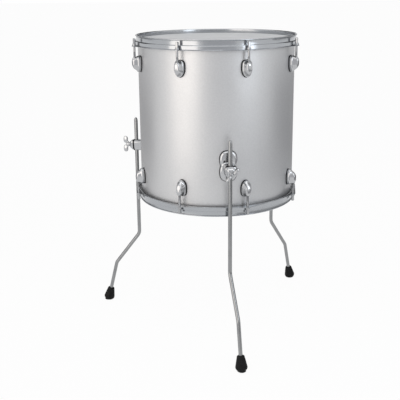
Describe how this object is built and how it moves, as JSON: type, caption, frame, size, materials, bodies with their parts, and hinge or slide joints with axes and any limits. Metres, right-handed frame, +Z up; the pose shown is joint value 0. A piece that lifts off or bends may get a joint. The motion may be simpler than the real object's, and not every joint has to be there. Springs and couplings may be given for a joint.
{
  "type": "floor tom",
  "caption": "Floor tom: a silver two-headed drum with chrome flanged hoops, egg-shaped lugs and bent legs in clamping brackets with rubber feet.",
  "frame": {"origin": "on the floor under the middle of the whole object's box", "axes": "+Z up along the drum's axis, -Y towards the front leg's side"},
  "size_m": [0.5818, 0.5882, 0.7805],
  "materials": {
    "shell_finish": "satin silver lacquer over a wooden shell",
    "head_film": "coated pale grey-white film",
    "head_ring": "plain extruded ring",
    "chrome": "bright chrome plate",
    "leg_rod": "satin chrome plate",
    "rubber": "matt black moulded rubber"
  },
  "bodies": {
    "drum": {"shell": "shell_finish", "vent_grommet": "rubber", "batter_head": "head_film", "batter_head_ring": "head_ring", "batter_hoop": "chrome", "resonant_head": "head_film", "resonant_head_ring": "head_ring", "resonant_hoop": "chrome", "lug_top_1": "chrome", "lug_top_2": "chrome", "lug_top_3": "chrome", "lug_top_4": "chrome", "lug_top_5": "chrome", "lug_top_6": "chrome", "lug_top_7": "chrome", "lug_top_8": "chrome", "lug_bottom_1": "chrome", "lug_bottom_2": "chrome", "lug_bottom_3": "chrome", "lug_bottom_4": "chrome", "lug_bottom_5": "chrome", "lug_bottom_6": "chrome", "lug_bottom_7": "chrome", "lug_bottom_8": "chrome", "bracket_front": "chrome", "eye_bolt_front": "chrome", "bracket_left": "chrome", "eye_bolt_left": "chrome", "bracket_right": "chrome", "eye_bolt_right": "chrome"},
    "top_rod_1": {"tension_rod_top_1": "chrome"},
    "top_rod_2": {"tension_rod_top_2": "chrome"},
    "top_rod_3": {"tension_rod_top_3": "chrome"},
    "top_rod_4": {"tension_rod_top_4": "chrome"},
    "top_rod_5": {"tension_rod_top_5": "chrome"},
    "top_rod_6": {"tension_rod_top_6": "chrome"},
    "top_rod_7": {"tension_rod_top_7": "chrome"},
    "top_rod_8": {"tension_rod_top_8": "chrome"},
    "bottom_rod_1": {"tension_rod_bottom_1": "chrome"},
    "bottom_rod_2": {"tension_rod_bottom_2": "chrome"},
    "bottom_rod_3": {"tension_rod_bottom_3": "chrome"},
    "bottom_rod_4": {"tension_rod_bottom_4": "chrome"},
    "bottom_rod_5": {"tension_rod_bottom_5": "chrome"},
    "bottom_rod_6": {"tension_rod_bottom_6": "chrome"},
    "bottom_rod_7": {"tension_rod_bottom_7": "chrome"},
    "bottom_rod_8": {"tension_rod_bottom_8": "chrome"},
    "front_leg": {"leg_front": "leg_rod", "foot_front": "rubber"},
    "front_cap": {"clamp_cap_front": "chrome"},
    "front_nut": {"wing_nut_front": "chrome"},
    "left_leg": {"leg_left": "leg_rod", "foot_left": "rubber"},
    "left_cap": {"clamp_cap_left": "chrome"},
    "left_nut": {"wing_nut_left": "chrome"},
    "right_leg": {"leg_right": "leg_rod", "foot_right": "rubber"},
    "right_cap": {"clamp_cap_right": "chrome"},
    "right_nut": {"wing_nut_right": "chrome"}
  },
  "joints": [
    {"name": "top_rod_1_turn", "type": "hinge", "parent": "drum", "child": "top_rod_1", "pos_m": [-0.04679, -0.15369, 0.758], "axis": [0, 0, 1], "continuous": true},
    {"name": "top_rod_2_turn", "type": "hinge", "parent": "drum", "child": "top_rod_2", "pos_m": [0.12017, -0.15996, 0.758], "axis": [0, 0, 1], "continuous": true},
    {"name": "top_rod_3_turn", "type": "hinge", "parent": "drum", "child": "top_rod_3", "pos_m": [0.24266, -0.04633, 0.758], "axis": [0, 0, 1], "continuous": true},
    {"name": "top_rod_4_turn", "type": "hinge", "parent": "drum", "child": "top_rod_4", "pos_m": [0.24893, 0.12063, 0.758], "axis": [0, 0, 1], "continuous": true},
    {"name": "top_rod_5_turn", "type": "hinge", "parent": "drum", "child": "top_rod_5", "pos_m": [0.1353, 0.24312, 0.758], "axis": [0, 0, 1], "continuous": true},
    {"name": "top_rod_6_turn", "type": "hinge", "parent": "drum", "child": "top_rod_6", "pos_m": [-0.03166, 0.24939, 0.758], "axis": [0, 0, 1], "continuous": true},
    {"name": "top_rod_7_turn", "type": "hinge", "parent": "drum", "child": "top_rod_7", "pos_m": [-0.15415, 0.13576, 0.758], "axis": [0, 0, 1], "continuous": true},
    {"name": "top_rod_8_turn", "type": "hinge", "parent": "drum", "child": "top_rod_8", "pos_m": [-0.16042, -0.0312, 0.758], "axis": [0, 0, 1], "continuous": true},
    {"name": "bottom_rod_1_turn", "type": "hinge", "parent": "drum", "child": "bottom_rod_1", "pos_m": [-0.04679, -0.15369, 0.3734], "axis": [0, 0, -1], "continuous": true},
    {"name": "bottom_rod_2_turn", "type": "hinge", "parent": "drum", "child": "bottom_rod_2", "pos_m": [0.12017, -0.15996, 0.3734], "axis": [0, 0, -1], "continuous": true},
    {"name": "bottom_rod_3_turn", "type": "hinge", "parent": "drum", "child": "bottom_rod_3", "pos_m": [0.24266, -0.04633, 0.3734], "axis": [0, 0, -1], "continuous": true},
    {"name": "bottom_rod_4_turn", "type": "hinge", "parent": "drum", "child": "bottom_rod_4", "pos_m": [0.24893, 0.12063, 0.3734], "axis": [0, 0, -1], "continuous": true},
    {"name": "bottom_rod_5_turn", "type": "hinge", "parent": "drum", "child": "bottom_rod_5", "pos_m": [0.1353, 0.24312, 0.3734], "axis": [0, 0, -1], "continuous": true},
    {"name": "bottom_rod_6_turn", "type": "hinge", "parent": "drum", "child": "bottom_rod_6", "pos_m": [-0.03166, 0.24939, 0.3734], "axis": [0, 0, -1], "continuous": true},
    {"name": "bottom_rod_7_turn", "type": "hinge", "parent": "drum", "child": "bottom_rod_7", "pos_m": [-0.15415, 0.13576, 0.3734], "axis": [0, 0, -1], "continuous": true},
    {"name": "bottom_rod_8_turn", "type": "hinge", "parent": "drum", "child": "bottom_rod_8", "pos_m": [-0.16042, -0.0312, 0.3734], "axis": [0, 0, -1], "continuous": true},
    {"name": "front_leg_slide", "type": "slide", "parent": "drum", "child": "front_leg", "axis": [0, 0, 1], "range_m": [-0.045, 0.2]},
    {"name": "front_cap_slide", "type": "slide", "parent": "drum", "child": "front_cap", "axis": [0.1392, -0.9903, 0], "range_m": [0, 0.00156]},
    {"name": "front_nut_turn", "type": "hinge", "parent": "front_cap", "child": "front_nut", "pos_m": [0.08016, -0.21078, 0.472], "axis": [0.1392, -0.9903, 0], "range_deg": [0, 450]},
    {"name": "left_leg_slide", "type": "slide", "parent": "drum", "child": "left_leg", "axis": [0, 0, 1], "range_m": [-0.045, 0.2]},
    {"name": "left_cap_slide", "type": "slide", "parent": "drum", "child": "left_cap", "axis": [-0.9593, 0.2823, 0], "range_m": [0, 0.00156]},
    {"name": "left_nut_turn", "type": "hinge", "parent": "left_cap", "child": "left_nut", "pos_m": [-0.20325, 0.11756, 0.472], "axis": [-0.9593, 0.2823, 0], "range_deg": [0, 450]},
    {"name": "right_leg_slide", "type": "slide", "parent": "drum", "child": "right_leg", "axis": [0, 0, 1], "range_m": [-0.045, 0.2]},
    {"name": "right_cap_slide", "type": "slide", "parent": "drum", "child": "right_cap", "axis": [0.7046, 0.7096, 0], "range_m": [0, 0.00156]},
    {"name": "right_nut_turn", "type": "hinge", "parent": "right_cap", "child": "right_nut", "pos_m": [0.22605, 0.22778, 0.472], "axis": [0.7046, 0.7096, 0], "range_deg": [0, 450]}
  ],
  "couplings": [
    {"joint": "front_nut_turn", "follows": "front_cap_slide", "rad_per_m": 5026.5},
    {"joint": "left_nut_turn", "follows": "left_cap_slide", "rad_per_m": 5026.5},
    {"joint": "right_nut_turn", "follows": "right_cap_slide", "rad_per_m": 5026.5}
  ]
}
